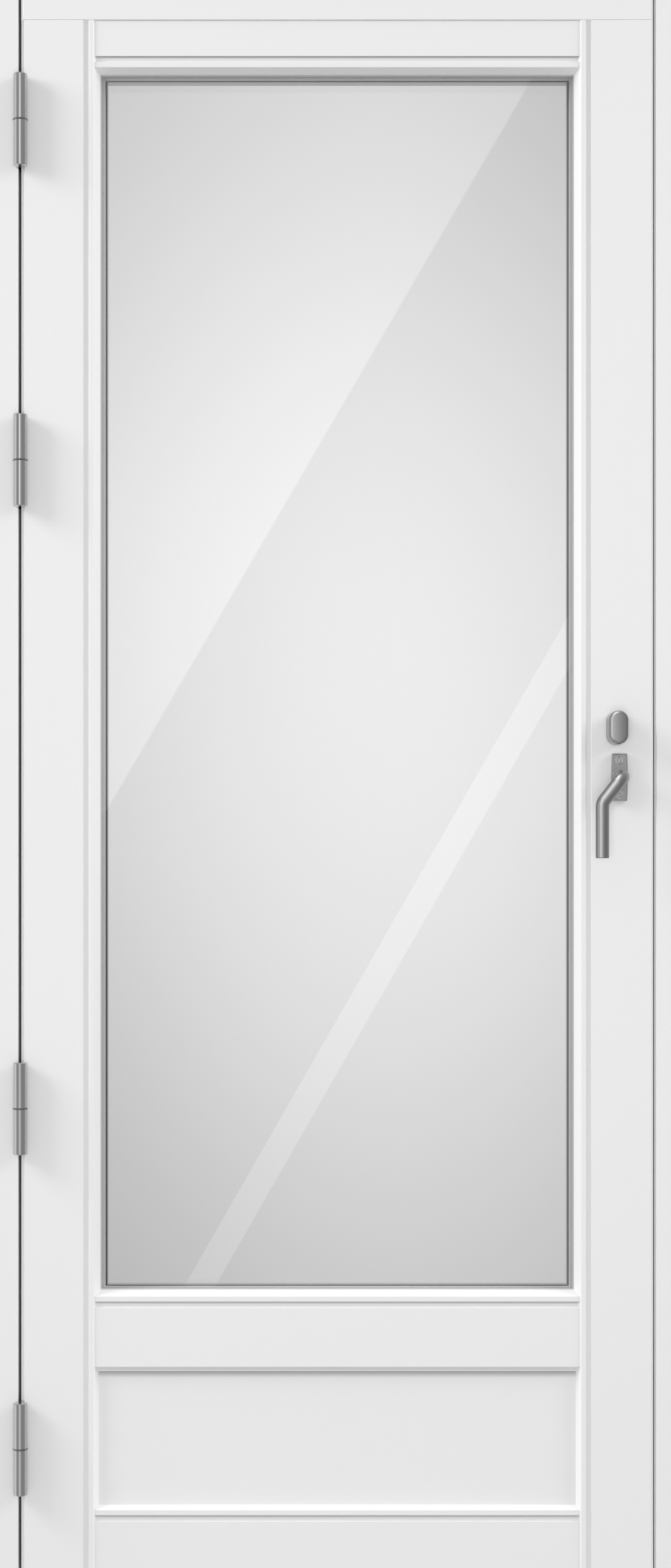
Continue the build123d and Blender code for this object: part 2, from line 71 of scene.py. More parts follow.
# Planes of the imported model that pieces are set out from
LEAF_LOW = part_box("leaf_stile_hinge")[0]
DOOR_FACE = LEAF_LOW.y
HINGE_EDGE = LEAF_LOW.x
JAMB_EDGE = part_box("frame_head")[0].x
HANDLE_AXIS = JOINT_AT["handle_turn"]

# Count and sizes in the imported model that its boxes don't give
HINGE_COUNT = 4
FRAME_FACE = 42 * MM
LOCK_BEVEL = 4 * MM
SEAL_WIDTH = 7 * MM

# Grooves of the rails: walls nearer to and farther from the sight line, and the floor's depth
GROOVE_NEAR = 13.7 * MM
GROOVE_FAR = 20.9 * MM
GROOVE_FLOOR = 4.6 * MM

# Painted shade under the upper walls of the rails' grooves and on the panel under the mid rail: reach, share of
# colour taken, play at their faces
TOP_REACH = 1.7 * MM
MID_REACH = 3.1 * MM
BOTTOM_REACH = 3.8 * MM
PANEL_REACH = 8 * MM
PAINTED_SHADE_SHARE = 0.55
SHADE_LINE_SLACK = 0.05 * MM
SHADE_LINE_PLAY = 1.6 * MM


# Settings

class PaintSettings(bpy.types.PropertyGroup):
    """Satin paint on the wood of the frame and the leaf."""
    colour: FloatVectorProperty(
        name="Colour", description="Paint colour", subtype="COLOR", size=3, min=0, max=1,
        default=(0.86, 0.86, 0.86))
    roughness: FloatProperty(
        name="Roughness", description="Roughness of the paint film", subtype="FACTOR", min=0, max=1,
        default=0.42)
    brush_height: FloatProperty(
        name="Brush height", description="Height of the brush lines in the film", subtype="DISTANCE",
        unit="LENGTH", default=0.03 * MM)
    lines_across: FloatProperty(
        name="Lines across", description="Brush lines in each metre across the grain", default=520)
    lines_along: FloatProperty(
        name="Lines along", description="Changes in each metre along the grain", default=9)


class GlassSettings(bpy.types.PropertyGroup):
    """Three panes with their spacers and gaskets."""
    tint: FloatVectorProperty(
        name="Tint", description="Colour of the panes", subtype="COLOR", size=3, min=0, max=1,
        default=(0.985, 0.985, 0.985))
    gasket_colour: FloatVectorProperty(
        name="Gasket", description="Colour of the glazing gaskets", subtype="COLOR", size=3, min=0, max=1,
        default=(0.53, 0.53, 0.53))
    spacer_colour: FloatVectorProperty(
        name="Spacer", description="Colour of the inner spacer bars", subtype="COLOR", size=3, min=0,
        max=1, default=(0.76, 0.76, 0.76))
    outer_spacer_colour: FloatVectorProperty(
        name="Outer spacer", description="Colour of the outer spacer bars", subtype="COLOR", size=3, min=0,
        max=1, default=(0.84, 0.84, 0.84))
    sealant_line: FloatProperty(
        name="Sealant line", description="Width of the dark sealant line on the outer bar's face",
        subtype="DISTANCE", unit="LENGTH", default=1.5 * MM)
    sealant_inset: FloatProperty(
        name="Sealant inset", description="From the outer bar's edge to its sealant line",
        subtype="DISTANCE", unit="LENGTH", default=0.9 * MM)


class MetalSettings(bpy.types.PropertyGroup):
    """Finishes of the hinges, the lock edge and the handle."""
    hinge_colour: FloatVectorProperty(
        name="Hinges", description="Colour of the hinges", subtype="COLOR", size=3, min=0, max=1,
        default=(0.56, 0.56, 0.56))
    hinge_roughness: FloatProperty(
        name="Hinge roughness", description="Roughness of the hinges", subtype="FACTOR", min=0, max=1,
        default=0.2)
    lock_colour: FloatVectorProperty(
        name="Lock edge", description="Colour of faceplate, bolts and strikes", subtype="COLOR", size=3,
        min=0, max=1, default=(0.66, 0.66, 0.66))
    lock_roughness: FloatProperty(
        name="Lock roughness", description="Roughness of faceplate, bolts and strikes", subtype="FACTOR",
        min=0, max=1, default=0.34)
    # Lever, rose and covers are one satin steel: their three tones are painted light and shade, darkest on the
    # lever and lightest on the covers
    handle_colour: FloatVectorProperty(
        name="Handle", description="Colour of lever and thumb-turn", subtype="COLOR", size=3, min=0,
        max=1, default=(0.37, 0.37, 0.37))
    rose_colour: FloatVectorProperty(
        name="Rose", description="Colour of the rose", subtype="COLOR", size=3, min=0, max=1,
        default=(0.44, 0.44, 0.44))
    cover_colour: FloatVectorProperty(
        name="Covers", description="Colour of the rose's screw covers", subtype="COLOR", size=3, min=0,
        max=1, default=(0.66, 0.66, 0.66))
    handle_roughness: FloatProperty(
        name="Handle roughness", description="Roughness of handle, rose and thumb-turn", subtype="FACTOR",
        min=0, max=1, default=0.34)


class ScrewSettings(bpy.types.PropertyGroup):
    """Raised screw heads with a cross recess."""
    radius: FloatProperty(
        name="Radius", description="Radius of a head", subtype="DISTANCE", unit="LENGTH",
        default=3.6 * MM)
    rise: FloatProperty(
        name="Rise", description="Height of a head over its plate", subtype="DISTANCE", unit="LENGTH",
        default=1.0 * MM)
    recess_reach: FloatProperty(
        name="Recess reach", description="Length of an arm of the recess", subtype="DISTANCE",
        unit="LENGTH", default=2.0 * MM)
    recess_half: FloatProperty(
        name="Recess half width", description="Half the width of an arm", subtype="DISTANCE",
        unit="LENGTH", default=0.5 * MM)
    sides: IntProperty(name="Sides", description="Points round a head", default=48, min=16)


class RingSettings(bpy.types.PropertyGroup):
    """Bearing ring between the halves of a hinge."""
    colour: FloatVectorProperty(
        name="Colour", description="Colour of the ring", subtype="COLOR", size=3, min=0, max=1,
        default=(0.3, 0.3, 0.3))
    inner_radius: FloatProperty(
        name="Inner radius", description="Radius inside the ring", subtype="DISTANCE", unit="LENGTH",
        default=8.75 * MM)
    stand_out: FloatProperty(
        name="Stand-out", description="How far the ring stands out from the barrel", subtype="DISTANCE",
        unit="LENGTH", default=0.8 * MM)
    height: FloatProperty(
        name="Height", description="Height of the ring", subtype="DISTANCE", unit="LENGTH",
        default=1.4 * MM)
    clearance: FloatProperty(
        name="Clearance", description="Play between the ring and the half that turns on it",
        subtype="DISTANCE", unit="LENGTH", default=0.05 * MM)


class SealSettings(bpy.types.PropertyGroup):
    """Bulb seal on the stops and the pale strip in the gap round the leaf, its paleness painted light in the gap.
    """
    colour: FloatVectorProperty(
        name="Colour", description="Colour of the seal", subtype="COLOR", size=3, min=0, max=1,
        default=(0.05, 0.05, 0.05))
    bulb_radius: FloatProperty(
        name="Bulb radius", description="Radius of the bulb across the seal", subtype="DISTANCE",
        unit="LENGTH", default=2.6 * MM)
    lip: FloatProperty(
        name="Foot", description="Thickness of the seal's foot", subtype="DISTANCE", unit="LENGTH",
        default=1.0 * MM)
    # The strip's pale colour is painted light, standing for the light that reaches the gap
    strip_colour: FloatVectorProperty(
        name="Strip", description="Colour of the strip in the gap", subtype="COLOR", size=3, min=0, max=1,
        default=(0.72, 0.72, 0.72))
    strip_reach: FloatProperty(
        name="Strip reach", description="How far the strip stands out from the jamb", subtype="DISTANCE",
        unit="LENGTH", default=2.5 * MM)
    strip_depth: FloatProperty(
        name="Strip depth", description="Depth of the strip behind the door's face", subtype="DISTANCE",
        unit="LENGTH", default=3.5 * MM)


class StageSettings(bpy.types.PropertyGroup):
    """Floor, lamps, surroundings and camera."""
    floor_radius: FloatProperty(
        name="Floor radius", description="Radius of the floor disc", subtype="DISTANCE", unit="LENGTH",
        default=2.1)
    floor_colour: FloatVectorProperty(
        name="Floor", description="Colour of the floor", subtype="COLOR", size=3, min=0, max=1,
        default=(0.4, 0.4, 0.4))
    ambient: FloatProperty(name="Ambient", description="Soft light from straight ahead", default=0.262)
    ambient_rim: FloatProperty(
        name="Ambient rim", description="Soft light added from sides and top", default=0.62)
    daylight: FloatProperty(
        name="Daylight", description="Soft light added from outside the door", default=0.8)
    left_power: FloatProperty(
        name="Left lamp", description="Power of the lamp on the hinge side", unit="POWER", default=127)
    right_power: FloatProperty(
        name="Right lamp", description="Power of the lamp on the lock side", unit="POWER", default=97)
    front_power: FloatProperty(
        name="Front lamp", description="Power of the soft lamp before the camera", unit="POWER",
        default=22)
    card_level: FloatProperty(
        name="Handle cards", description="Level of the cards that the handle mirrors", default=1.6)
    backdrop: FloatProperty(name="Backdrop", description="Level of the plain backdrop", default=0.44)
    glow: FloatProperty(
        name="Glow", description="Level in the middle of the glow behind the glass", default=1.0)
    camera_distance: FloatProperty(
        name="Distance", description="Camera to the door's face", subtype="DISTANCE", unit="LENGTH",
        default=3.2)
    camera_height: FloatProperty(
        name="Height", description="Camera over the floor", subtype="DISTANCE", unit="LENGTH",
        default=0.96)
    picture_x: FloatProperty(
        name="Picture middle X", description="Point of the door's face in the picture's middle",
        unit="LENGTH", default=-2.2 * MM)
    picture_z: FloatProperty(
        name="Picture middle Z", description="Point of the door's face in the picture's middle",
        unit="LENGTH", default=1.0407)
    picture_span: FloatProperty(
        name="Picture height", description="Height of the door's face that the picture shows",
        unit="LENGTH", default=1.9812)


# Surfaces

def grid_quads(rows, columns, wrap_rows):
    """Corner numbers of the quads between neighbouring rows and columns; columns join round."""
    row = np.arange(rows if wrap_rows else rows - 1)
    column = np.arange(columns)
    row, column = np.meshgrid(row, column, indexing="ij")
    next_row = (row + 1) % rows
    next_column = (column + 1) % columns
    corners = [
        row * columns + column,
        row * columns + next_column,
        next_row * columns + next_column,
        next_row * columns + column,
    ]
    return np.stack(corners, axis=-1).reshape(-1, 4)


def new_piece(name, points, faces, crease):
    """Mesh object at the origin from an (n, 3) array, smooth but for edges sharper than the crease."""
    mesh = bpy.data.meshes.new(name)
    mesh.from_pydata(points.reshape(-1, 3), [], faces)
    mesh.polygons.foreach_set("use_smooth", np.ones(len(mesh.polygons), bool))
    mesh.set_sharp_from_angle(angle=math.radians(crease))
    mesh.update()
    piece = bpy.data.objects.new(name, mesh)
    bpy.context.scene.collection.objects.link(piece)
    return piece


def dress(piece, body, material):
    """Give a new piece its body and its material."""
    piece.data.materials.append(material)
    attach(piece, body)
    return piece


def turned(radius, height, angle):
    """Surface of revolution: each row's radius and height carried round the angles."""
    circle = np.stack([np.cos(angle), np.sin(angle)], axis=-1)
    flat = radius[..., None] * circle
    tall = np.broadcast_to(height, radius.shape)
    return np.concatenate([flat, tall[..., None]], axis=-1)


def set_out(pattern, centres, out):
    """Copies of a (rows, columns, 3) pattern at each centre, its height along `out`, upright along Z."""
    out = np.asarray(out, float) / np.linalg.norm(out)
    up = np.array([0.0, 0.0, 1.0])
    axes = np.stack([np.cross(up, out), up, out])
    return (pattern @ axes)[None] + np.asarray(centres, float)[:, None, None, :]


def closed_copies(name, copies, crease, capped=True):
    """One mesh of several closed copies of a grid.

    Each copy is capped on its first and last row, or joined from its last row to its first.
    """
    count, rows, columns, _ = copies.shape
    size = rows * columns
    quads = grid_quads(rows, columns, wrap_rows=not capped)
    start = np.arange(count)[:, None, None] * size
    faces = (quads[None] + start).reshape(-1, 4).tolist()
    if not capped:
        return new_piece(name, copies, faces, crease)
    foot = (np.arange(columns)[::-1][None] + start[:, 0]).tolist()
    crown = (np.arange(columns)[None] + size - columns + start[:, 0]).tolist()
    return new_piece(name, copies, faces + foot + crown, crease)


def cross_edge(angle, reach, half):
    """Distance from the middle to the edge of a cross along each angle.

    A bar ends at reach / |cos| or half / |sin|, whichever is nearer; the cross is the farther of
    its two bars.
    """
    tiny = 1e-9
    across = np.abs(np.cos(angle)) + tiny
    along = np.abs(np.sin(angle)) + tiny
    level_bar = np.minimum(reach / across, half / along)
    upright_bar = np.minimum(reach / along, half / across)
    return np.maximum(level_bar, upright_bar)


def screw_head(screw):
    """Raised head: a dome falling with the square of the radius, round a sunk cross.

    Rows run from the foot of the rim over the dome, whose radius blends from the rim to the
    cross, and down the cross to its floor.
    """
    angle = np.linspace(0, 2 * math.pi, screw.sides, endpoint=False)
    ones = np.ones_like(angle)
    rim = 0.25 * screw.rise
    rim_edge = 0.7 * rim
    floor = 0.2 * screw.rise
    foot = -0.4 * screw.rise
    shoulder = 0.97 * screw.radius
    cross = cross_edge(angle, screw.recess_reach, screw.recess_half)
    floor_outer, floor_inner = 0.9 * cross, 0.4 * cross
    share = np.linspace(0, 1, 5)[:, None]
    dome_radius = shoulder * (1 - share) + cross * share
    dome_height = rim + (screw.rise - rim) * (1 - (dome_radius / screw.radius) ** 2)
    side = screw.radius * ones
    radius = np.vstack([side, side, dome_radius, floor_outer, floor_inner])
    height = np.vstack([foot * ones, rim_edge * ones, dome_height, floor * ones, floor * ones])
    return turned(radius, height, angle)


def add_screws(name, screw, centres, out, body, material):
    """Screw heads at the centres, facing out."""
    copies = set_out(screw_head(screw), centres, out)
    return dress(closed_copies(name, copies, crease=35), body, material)


def mitred_ring(name, profile, low, high, crease):
    """Profile of (inset, depth) points carried round the rectangle between two corners.

    A point with an inset lies that far inside the rectangle on every side, so that each corner is
    a mitre.
    """
    inset, depth = profile[:, 0], profile[:, 1]
    across = np.array([-1.0, 1.0, 1.0, -1.0])[:, None]
    upward = np.array([-1.0, -1.0, 1.0, 1.0])[:, None]
    middle = (np.asarray(low) + np.asarray(high)) / 2
    half = (np.asarray(high) - np.asarray(low)) / 2
    x = middle[0] + across * (half[0] - inset)
    z = middle[2] + upward * (half[2] - inset)
    y = np.broadcast_to(depth, x.shape)
    points = np.stack([x, y, z], axis=-1)
    quads = grid_quads(len(across), len(profile), wrap_rows=True)
    return new_piece(name, points, quads.tolist(), crease)


def face_outwards(piece):
    """Turn the faces of a closed mesh outwards."""
    work = bmesh.new()
    work.from_mesh(piece.data)
    bmesh.ops.recalc_face_normals(work, faces=work.faces)
    work.to_mesh(piece.data)
    work.free()
    return piece


# Shader helpers

def add_node(tree, kind, inputs=None, **settings):
    """New node with its settings; an input takes a plain value or the socket that feeds it."""
    node = tree.nodes.new(kind)
    for key, value in settings.items():
        setattr(node, key, value)
    for key, value in (inputs or {}).items():
        if isinstance(value, bpy.types.NodeSocket):
            tree.links.new(value, node.inputs[key])
        else:
            node.inputs[key].default_value = value
    return node


def math_node(tree, operation, *values):
    """Result of a Math node on plain values or sockets."""
    node = add_node(tree, "ShaderNodeMath", dict(enumerate(values)), operation=operation)
    return node.outputs[0]


def blank_material(name):
    """New material with no nodes but its Object coordinates: the material, its tree, the coordinates."""
    material = bpy.data.materials.new(name)
    material.use_nodes = True
    tree = material.node_tree
    tree.nodes.clear()
    return material, tree, add_node(tree, "ShaderNodeTexCoord").outputs["Object"]


def mix_colour(tree, factor, first, second):
    """Colour socket between two colours; each is a plain colour or a socket."""
    values = {0: factor}
    for number, colour in ((6, first), (7, second)):
        values[number] = colour if isinstance(colour, bpy.types.NodeSocket) else (*colour, 1.0)
    return add_node(tree, "ShaderNodeMix", values, data_type="RGBA").outputs[2]


def fine_grain_group():
    """Node group shared by paint, metal and rubber: fine lines along a grain and a slow mottle.

    Coordinates times the grain give the lines; the mottle shifts the colour by the variation and
    moves the roughness between its two ends.
    """
    tree = bpy.data.node_groups.new("fine_grain", "ShaderNodeTree")
    sockets = tree.interface
    sockets.new_socket("Vector", in_out="INPUT", socket_type="NodeSocketVector")
    sockets.new_socket("Grain", in_out="INPUT", socket_type="NodeSocketVector")
    sockets.new_socket("Colour", in_out="INPUT", socket_type="NodeSocketColor")
    for name in ("Mottle scale", "Variation", "Smooth end", "Rough end"):
        sockets.new_socket(name, in_out="INPUT", socket_type="NodeSocketFloat")
    sockets.new_socket("Colour", in_out="OUTPUT", socket_type="NodeSocketColor")
    sockets.new_socket("Roughness", in_out="OUTPUT", socket_type="NodeSocketFloat")
    sockets.new_socket("Height", in_out="OUTPUT", socket_type="NodeSocketFloat")
    given = add_node(tree, "NodeGroupInput").outputs
    result = add_node(tree, "NodeGroupOutput").inputs

    stretched = add_node(
        tree, "ShaderNodeVectorMath", {0: given["Vector"], 1: given["Grain"]}, operation="MULTIPLY")
    lines = add_node(
        tree, "ShaderNodeTexNoise",
        {"Vector": stretched.outputs[0], "Scale": 1.0, "Detail": 3.0, "Roughness": 0.6})
    mottle = add_node(
        tree, "ShaderNodeTexNoise",
        {"Vector": given["Vector"], "Scale": given["Mottle scale"], "Detail": 2.0, "Roughness": 0.5})
    both = math_node(tree, "ADD", lines.outputs["Fac"], mottle.outputs["Fac"])
    swing = math_node(tree, "SUBTRACT", both, 1.0)
    shift = math_node(tree, "MULTIPLY_ADD", swing, given["Variation"], 1.0)
    tinted = add_node(
        tree, "ShaderNodeVectorMath", {0: given["Colour"], "Scale": shift}, operation="SCALE")
    half = math_node(tree, "MULTIPLY", both, 0.5)
    rough = add_node(
        tree, "ShaderNodeMapRange",
        {"Value": half, "From Min": 0.3, "From Max": 0.7, "To Min": given["Smooth end"],
         "To Max": given["Rough end"]})
    tree.links.new(tinted.outputs[0], result["Colour"])
    tree.links.new(rough.outputs[0], result["Roughness"])
    tree.links.new(lines.outputs["Fac"], result["Height"])
    return tree


def painted_shade_lines(tree, place, joints):
    """Share of the colour left by painted shade lines: least at a line's upper edge, rising to 1 over its reach.

    A line of painted shade is given by the height of its upper edge, its reach below that and the depth of its
    face.
    """
    y, z = [add_node(tree, "ShaderNodeSeparateXYZ", {0: place}).outputs[axis] for axis in "YZ"]
    left = 1.0
    # Painted shade: each line darkens the paint where shade falls under a groove wall or the mid rail
    for top, reach, depth in joints:
        near = add_node(
            tree, "ShaderNodeMapRange", {"Value": z, "From Min": top - reach, "From Max": top}).outputs[0]
        under = math_node(tree, "LESS_THAN", z, top + SHADE_LINE_SLACK)
        on_face = math_node(tree, "COMPARE", y, depth, SHADE_LINE_PLAY)
        line = math_node(tree, "MULTIPLY", near, math_node(tree, "MULTIPLY", under, on_face))
        left = math_node(tree, "MULTIPLY_ADD", line, -PAINTED_SHADE_SHARE, left)
    return left


def grained_material(
        name, colour, grain, roughness, height, mottle=4.0, variation=0.02, spread=0.06, metallic=0.0,
        joints=()):
    """Principled material whose colour, roughness and relief come from the fine grain group.

    Painted shade lines, if there are any, darken the colour.
    """
    material, tree, place = blank_material(name)
    film = add_node(
        tree, "ShaderNodeGroup",
        {"Vector": place, "Grain": grain, "Colour": (*colour, 1.0), "Mottle scale": mottle,
         "Variation": variation, "Smooth end": roughness - spread, "Rough end": roughness + spread},
        node_tree=shared_group())
    relief = add_node(tree, "ShaderNodeBump", {"Height": film.outputs["Height"], "Distance": height})
    tone = film.outputs["Colour"]
    # Painted shade lines darken the paint under the rails' groove walls and under the mid rail
    if joints:
        left = painted_shade_lines(tree, place, joints)
        shaded = add_node(tree, "ShaderNodeVectorMath", {0: tone, "Scale": left}, operation="SCALE")
        tone = shaded.outputs[0]
    shader = add_node(
        tree, "ShaderNodeBsdfPrincipled",
        {"Base Color": tone, "Roughness": film.outputs["Roughness"],
         "Normal": relief.outputs["Normal"], "Metallic": metallic})
    add_node(tree, "ShaderNodeOutputMaterial", {"Surface": shader.outputs[0]})
    return material


def shared_group():
    """The fine grain group, built on first use."""
    return bpy.data.node_groups.get("fine_grain") or fine_grain_group()


def wear(material, names):
    """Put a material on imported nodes."""
    for name in names:
        materials = NODES[name].data.materials
        materials.clear()
        materials.append(material)


def metal(name, colour, roughness, grain):
    """Metal with fine lines along its grain."""
    line_height = 0.004 * MM
    return grained_material(
        name, colour, grain, roughness, line_height, mottle=12.0, variation=0.03, spread=0.05,
        metallic=1.0)


def rubber(name, colour, roughness, pits):
    """Dull rubber with fine pits, so many in each metre."""
    pit_depth = 0.02 * MM
    return grained_material(name, colour, (pits, pits, pits), roughness, pit_depth)


# Woodwork

def rail_shade_lines():
    """Painted shade under the upper wall of each rail's groove, and painted shadow on the panel under the mid
    rail.
    """
    top_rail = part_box("leaf_top_rail")[0].z
    mid_low, mid_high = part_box("leaf_mid_rail")
    bottom_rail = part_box("leaf_bottom_rail")[1].z
    floor = DOOR_FACE + GROOVE_FLOOR
    return [
        (top_rail + GROOVE_FAR, TOP_REACH, floor),
        (mid_high.z - GROOVE_NEAR, MID_REACH, floor),
        (bottom_rail - GROOVE_NEAR, BOTTOM_REACH, floor),
        (mid_low.z, PANEL_REACH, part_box("leaf_panel")[0].y),
    ]


class PaintWoodwork(bpy.types.Operator):
    """Paint the frame, the leaf, the panel and the beads, with brush lines along each member."""
    bl_idname = "balcony_door.paint_woodwork"
    bl_label = "Paint woodwork"

    def execute(self, context):
        paint = context.scene.door_paint
        upright = (paint.lines_across, paint.lines_across, paint.lines_along)
        level = (paint.lines_along, paint.lines_across, paint.lines_across)
        level_ends = ("head", "threshold", "rail", "band", "bottom", "top", "panel")
        painted = [node for node, slot in SLOT_OF.items() if slot == "white_paint"]
        lying = [node for node in painted if node.endswith(level_ends)]
        standing = [node for node in painted if not node.endswith(level_ends)]
        # The level members get painted shade in the rails' grooves and a painted shadow on the panel under the mid
        # rail
        groups = (("paint_upright", upright, standing, ()), ("paint_level", level, lying, rail_shade_lines()))
        for name, grain, nodes, joints in groups:
            material = grained_material(
                name, paint.colour, grain, paint.roughness, paint.brush_height, mottle=3.0,
                variation=0.008, joints=joints)
            wear(material, nodes)
        return {"FINISHED"}


# Glass unit

# Tones as shares of a colour: clouds in the panes, speckle and sealant on the bars
PANE_CLOUD = 0.985
BAR_SPECKLE = 1.1
SEALANT_TONE = 0.05

# Metal in the look of the outer bar
OUTER_METALLIC = 0.8


def pane_material(tint):
    """Clear glass whose tint clouds by a trace; lamps shine through it."""
    material, tree, place = blank_material("clear_pane")
    cloud = add_node(tree, "ShaderNodeTexNoise", {"Vector": place, "Scale": 2.0, "Detail": 2.0})
    shade = mix_colour(tree, cloud.outputs["Fac"], tint, [PANE_CLOUD * value for value in tint])
    glass = add_node(
        tree, "ShaderNodeBsdfPrincipled",
        {"Base Color": shade, "Roughness": 0.0, "IOR": 1.5, "Transmission Weight": 1.0})
    clear = add_node(tree, "ShaderNodeBsdfTransparent")
    shadow_ray = add_node(tree, "ShaderNodeLightPath").outputs["Is Shadow Ray"]
    lit = add_node(tree, "ShaderNodeMixShader", {0: shadow_ray, 1: glass.outputs[0], 2: clear.outputs[0]})
    add_node(tree, "ShaderNodeOutputMaterial", {"Surface": lit.outputs[0]})
    return material


def ring_opening(node):
    """Half width, bottom and top of the opening in a packed rectangular ring.

    The points nearest to the middle plane are those of the opening's sides.
    """
    mesh = NODES[node].data
    points = np.empty(3 * len(mesh.vertices))
    mesh.vertices.foreach_get("co", points)
    x, _, z = points.reshape(-1, 3).T
    side = np.abs(x).min()
    tolerance = 0.01 * MM
    inner = z[np.abs(x) < side + tolerance]
    return side, inner.min(), inner.max()


def spacer_material(name, colour, node, inset, line, metallic):
    """Spacer bar with a dark line of sealant on its face at the hinge side and the bottom.

    The line lies an inset away from the bar's inner edge. The distance from that edge is the larger
    of the distances past the opening's sides and ends.
    """
    side, low, high = ring_opening(node)
    material, tree, place = blank_material(name)
    x, z = [add_node(tree, "ShaderNodeSeparateXYZ", {0: place}).outputs[axis] for axis in "XZ"]
    past_side = math_node(tree, "SUBTRACT", math_node(tree, "ABSOLUTE", x), side)
    off_middle = math_node(tree, "ABSOLUTE", math_node(tree, "SUBTRACT", z, (low + high) / 2))
    past_end = math_node(tree, "SUBTRACT", off_middle, (high - low) / 2)
    past = math_node(tree, "MAXIMUM", past_side, past_end)
    on_line = math_node(tree, "COMPARE", past, inset + line / 2, line / 2)
    off_lock_side = math_node(tree, "LESS_THAN", x, side)
    off_top = math_node(tree, "LESS_THAN", z, high)
    shown = math_node(tree, "MULTIPLY", off_lock_side, off_top)
    sealed = math_node(tree, "MULTIPLY", on_line, shown)
    speckle = add_node(
        tree, "ShaderNodeTexNoise", {"Vector": place, "Scale": 900.0, "Detail": 2.0}).outputs["Fac"]
    bar = mix_colour(tree, speckle, colour, [BAR_SPECKLE * value for value in colour])
    banded = mix_colour(tree, sealed, bar, [SEALANT_TONE * value for value in colour])
    rough = add_node(tree, "ShaderNodeMapRange", {"Value": speckle, "To Min": 0.4, "To Max": 0.6})
    shader = add_node(
        tree, "ShaderNodeBsdfPrincipled",
        {"Base Color": banded, "Roughness": rough.outputs[0], "Metallic": metallic})
    add_node(tree, "ShaderNodeOutputMaterial", {"Surface": shader.outputs[0]})
    return material


class GlazeUnit(bpy.types.Operator):
    """Clear panes, spacer bars with a sealant line, and rubber gaskets."""
    bl_idname = "balcony_door.glaze_unit"
    bl_label = "Glaze unit"

    def execute(self, context):
        glass = context.scene.door_glass
        wear(pane_material(glass.tint), ["glass_inner", "glass_middle", "glass_outer"])
        bars = (
            ("spacer_inner", glass.spacer_colour, 0.0, 0.0),
            ("spacer_outer", glass.outer_spacer_colour, glass.sealant_line, OUTER_METALLIC))
        for node, colour, line, metallic in bars:
            bar = spacer_material(f"{node}_bar", colour, node, glass.sealant_inset, line, metallic)
            wear(bar, [node])
        gasket = rubber("gasket_rubber", glass.gasket_colour, 0.6, pits=300)
        wear(gasket, ["gasket_inner", "gasket_outer"])
        return {"FINISHED"}


# Hinges

# Screws in a flap: depths behind the door's face, and steps from the hinge's end
SCREW_NEAR = 14 * MM
SCREW_FAR = 26 * MM
SCREW_STEPS = np.array([9.0, 29.0, 49.0]) * MM

# Brush lines in each metre along X, Y and Z
HINGE_GRAIN = (900, 900, 40)
RING_GRAIN = (900, 900, 900)


def flap_screws(number, half):
    """Centres of the three screws in one flap of a hinge, staggered across it."""
    low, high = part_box(f"hinge_{number}_{half}_half")
    height = low.z + SCREW_STEPS if half == "frame" else high.z - SCREW_STEPS
    edge = JAMB_EDGE if half == "frame" else HINGE_EDGE
    depth = DOOR_FACE + np.array([SCREW_NEAR, SCREW_FAR, SCREW_NEAR])
    return np.stack([np.full_like(height, edge), depth, height], axis=-1)


def bearing_rings(ring):
    """Thin dark ring round the joint of each hinge: a rounded band turned about the pin.

    The band's section is an ellipse just outside the barrel's radius, under the half that turns.
    """
    pin = JOINT_AT["leaf_swing"]
    turn = np.linspace(0, 2 * math.pi, 12, endpoint=False)
    angle = np.linspace(0, 2 * math.pi, 48, endpoint=False)
    radius = ring.inner_radius + ring.stand_out / 2 * (1 - np.cos(turn))
    height = ring.height / 2 * np.sin(turn)
    band = turned(radius[:, None] * np.ones_like(angle), height[:, None], angle)
    undersides = [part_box(f"hinge_{number}_leaf_half")[0].z for number in range(1, HINGE_COUNT + 1)]
    drop = ring.height / 2 + ring.clearance
    centres = np.array([(pin.x, pin.y, underside - drop) for underside in undersides])
    return closed_copies("bearing_rings", band[None] + centres[:, None, None, :], crease=60, capped=False)


class DressHinges(bpy.types.Operator):
    """Plated barrels and flaps, with three screws in each flap and a bearing ring round each joint."""
    bl_idname = "balcony_door.dress_hinges"
    bl_label = "Dress hinges"

    def execute(self, context):
        finish = context.scene.door_metal
        screw = context.scene.door_screws
        plated = metal("plated_hinge", finish.hinge_colour, finish.hinge_roughness, HINGE_GRAIN)
        numbers = range(1, HINGE_COUNT + 1)
        for half, body, out in (("frame", "frame", (1, 0, 0)), ("leaf", "leaf", (-1, 0, 0))):
            wear(plated, [f"hinge_{number}_{half}_half" for number in numbers])
            centres = np.concatenate([flap_screws(number, half) for number in numbers])
            add_screws(f"hinge_screws_{half}", screw, centres, out, body, plated)
        ring = context.scene.door_ring
        dark = metal("dark_ring", ring.colour, finish.lock_roughness, RING_GRAIN)
        dress(face_outwards(bearing_rings(ring)), "frame", dark)
        return {"FINISHED"}


# Lock edge

LOCK_GRAIN = (700, 700, 30)

# Screws: places along the faceplate as shares of its length, half length of a strike, inset from its end
FACEPLATE_SHARES = np.array([0.01, 0.16, 0.31, 0.43, 0.58, 0.7, 0.84, 0.99])
STRIKE_HALF = 55 * MM
STRIKE_INSET = 12 * MM


def upright_row(x, y, height):
    """Points at one x and y, at each of the heights."""
    return np.stack([np.full_like(height, x), np.full_like(height, y), height], axis=-1)


